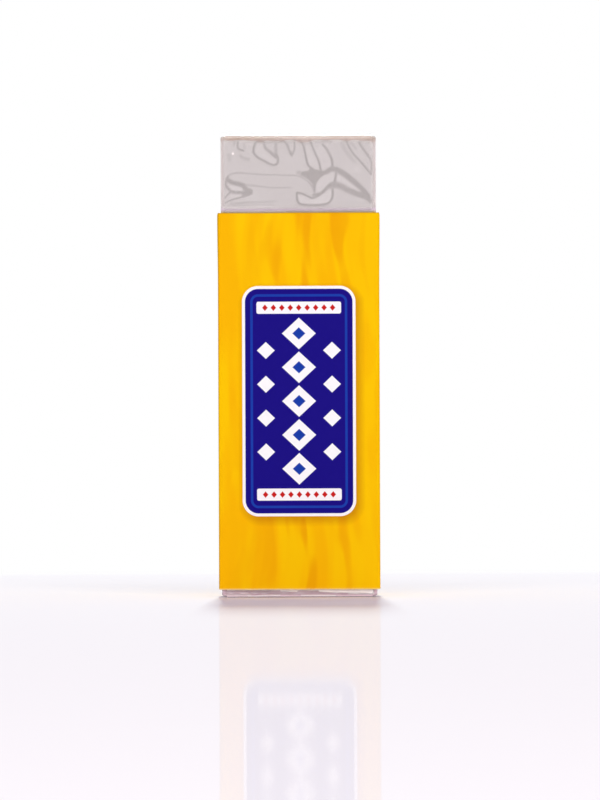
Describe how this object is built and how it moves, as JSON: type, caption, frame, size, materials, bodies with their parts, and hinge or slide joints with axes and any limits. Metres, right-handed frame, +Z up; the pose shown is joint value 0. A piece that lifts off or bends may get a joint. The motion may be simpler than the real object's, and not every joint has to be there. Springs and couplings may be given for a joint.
{
  "type": "block eraser",
  "caption": "Grey vinyl rubber eraser bar wrapped in lapped clear film, in a printed card sleeve that slides along it; it stands on one end.",
  "frame": {"origin": "middle of the sleeve's outline, on the plane of the end that the eraser stands on", "axes": "+Z up along the bar, towards the end that is bare of the sleeve; +Y from the front panel to the back panel, which carries the glued seam; +X to the right as the front is seen"},
  "size_m": [0.021, 0.01, 0.06],
  "materials": {
    "vinyl_rubber": "smooth extruded vinyl rubber with a faint sheen",
    "clear_film": "thin clear glossy film",
    "printed_card": "yellow print on thin white card, satin varnish",
    "dried_glue": "dried paper glue"
  },
  "bodies": {
    "wrapped_block": {"eraser_block": "vinyl_rubber", "film_wrap": "clear_film"},
    "card_sleeve": {"sleeve": "printed_card", "sleeve_glue": "dried_glue"}
  },
  "joints": [
    {"name": "sleeve_slide", "type": "slide", "parent": "wrapped_block", "child": "card_sleeve", "axis": [0, 0, 1], "range_m": [-0.001, 0.06]}
  ]
}
